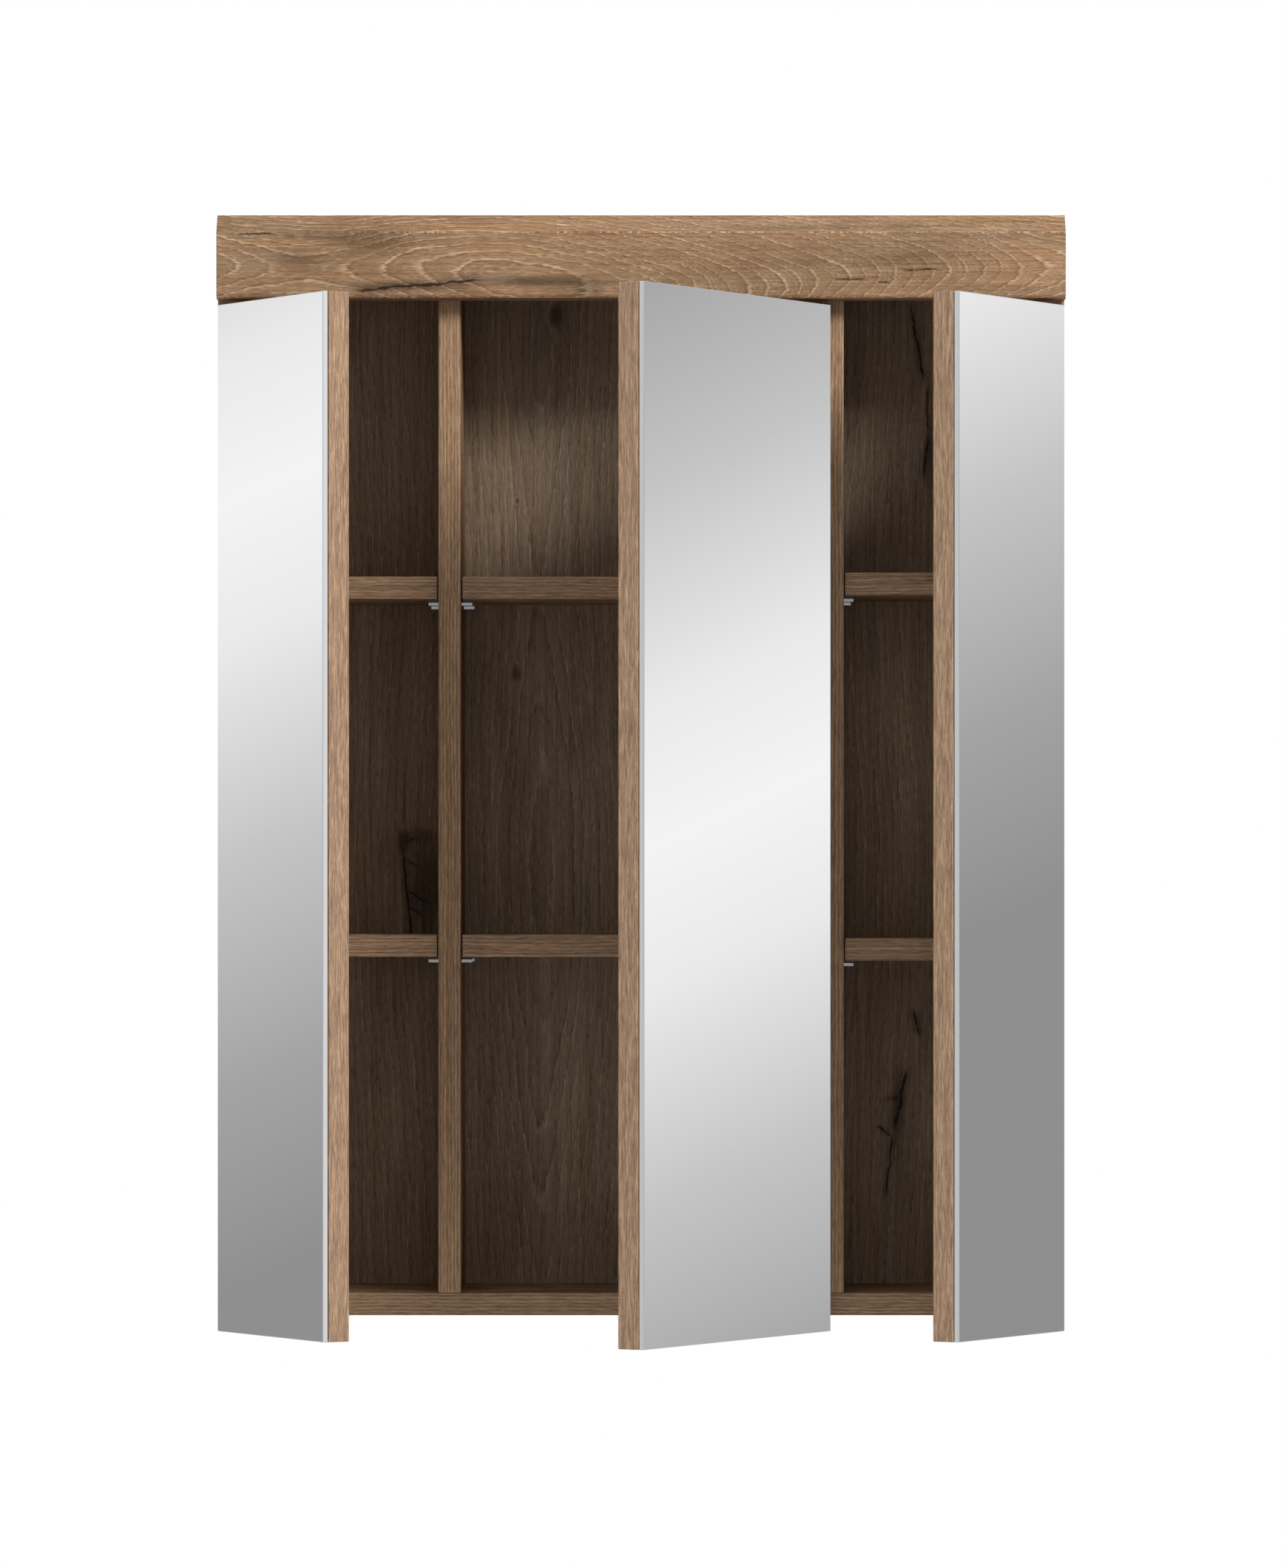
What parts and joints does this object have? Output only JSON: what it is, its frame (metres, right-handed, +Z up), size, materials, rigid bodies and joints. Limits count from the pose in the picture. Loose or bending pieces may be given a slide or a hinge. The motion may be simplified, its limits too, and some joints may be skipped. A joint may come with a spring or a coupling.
{
  "type": "mirror cabinet",
  "caption": "Wall-hung oak mirror cabinet with mirrored doors on concealed hinges, standing ajar, and shelved bays behind them under a crown board.",
  "frame": {"origin": "midway between the two hanger holes, in the plane of the wall", "axes": "+X to the viewer's right, +Y from the front into the wall, +Z up"},
  "size_m": [0.6, 0.3943, 0.79],
  "materials": {
    "front_oak": "matt oiled oak, edge-banded",
    "carcass_oak": "matt oak, fronts edge-banded",
    "back_oak": "matt oak veneer",
    "mirror_glass": "silvered glass with ground edges",
    "hinge_steel": "nickel-plated",
    "zinc_steel": "zinc-plated",
    "cam_zinc": "die-cast zinc",
    "beech": "plain",
    "pad_rubber": "soft and dull",
    "tape_foam": "double-sided foam"
  },
  "bodies": {
    "carcass": {"left_side_panel": "carcass_oak", "right_side_panel": "carcass_oak", "top_panel": "carcass_oak", "bottom_panel": "carcass_oak", "left_partition": "carcass_oak", "right_partition": "carcass_oak", "back_panel": "back_oak", "crown_board": "front_oak", "crown_angles": "zinc_steel", "left_lower_shelf": "carcass_oak", "left_upper_shelf": "carcass_oak", "middle_lower_shelf": "carcass_oak", "middle_upper_shelf": "carcass_oak", "right_lower_shelf": "carcass_oak", "right_upper_shelf": "carcass_oak", "left_shelf_supports": "zinc_steel", "middle_shelf_supports": "zinc_steel", "right_shelf_supports": "zinc_steel", "shelf_support_pads": "pad_rubber", "cam_locks": "cam_zinc", "cam_bolts": "zinc_steel", "dowels": "beech", "partition_screws": "zinc_steel", "hanger_plates": "zinc_steel", "bracket_screws": "zinc_steel", "hinge_arms": "hinge_steel", "hinge_arm_pins": "zinc_steel", "hinge_plates": "hinge_steel", "hinge_plate_screws": "zinc_steel", "hinge_arm_screws": "zinc_steel"},
    "left_links": {"left_hinge_links": "hinge_steel"},
    "left_door": {"left_door_board": "front_oak", "left_door_mirror": "mirror_glass", "left_mirror_tape": "tape_foam", "left_bumpers": "pad_rubber", "left_hinge_cups": "hinge_steel", "left_cup_pins": "zinc_steel", "left_cup_screws": "zinc_steel"},
    "middle_links": {"middle_hinge_links": "hinge_steel"},
    "middle_door": {"middle_door_board": "front_oak", "middle_door_mirror": "mirror_glass", "middle_mirror_tape": "tape_foam", "middle_bumpers": "pad_rubber", "middle_hinge_cups": "hinge_steel", "middle_cup_pins": "zinc_steel", "middle_cup_screws": "zinc_steel"},
    "right_links": {"right_hinge_links": "hinge_steel"},
    "right_door": {"right_door_board": "front_oak", "right_door_mirror": "mirror_glass", "right_mirror_tape": "tape_foam", "right_bumpers": "pad_rubber", "right_hinge_cups": "hinge_steel", "right_cup_pins": "zinc_steel", "right_cup_screws": "zinc_steel"}
  },
  "joints": [
    {"name": "left_link_turn", "type": "hinge", "parent": "carcass", "child": "left_links", "pos_m": [-0.2646, -0.134, -0.667], "axis": [0, 0, 1], "range_deg": [-15.15, 8.6]},
    {"name": "left_door_swing", "type": "hinge", "parent": "left_links", "child": "left_door", "pos_m": [-0.28292, -0.16237, -0.667], "axis": [0, 0, -1], "range_deg": [-75.75, 43]},
    {"name": "middle_link_turn", "type": "hinge", "parent": "carcass", "child": "middle_links", "pos_m": [0.0991, -0.134, -0.667], "axis": [0, 0, -1], "range_deg": [-15.15, 8.6]},
    {"name": "middle_door_swing", "type": "hinge", "parent": "middle_links", "child": "middle_door", "pos_m": [0.11742, -0.16237, -0.667], "axis": [0, 0, 1], "range_deg": [-75.75, 43]},
    {"name": "right_link_turn", "type": "hinge", "parent": "carcass", "child": "right_links", "pos_m": [0.2646, -0.134, -0.667], "axis": [0, 0, -1], "range_deg": [-15.15, 8.6]},
    {"name": "right_door_swing", "type": "hinge", "parent": "right_links", "child": "right_door", "pos_m": [0.28292, -0.16237, -0.667], "axis": [0, 0, 1], "range_deg": [-75.75, 43]}
  ],
  "couplings": [
    {"joint": "left_link_turn", "follows": "left_door_swing", "ratio": 0.2},
    {"joint": "middle_link_turn", "follows": "middle_door_swing", "ratio": 0.2},
    {"joint": "right_link_turn", "follows": "right_door_swing", "ratio": 0.2}
  ]
}
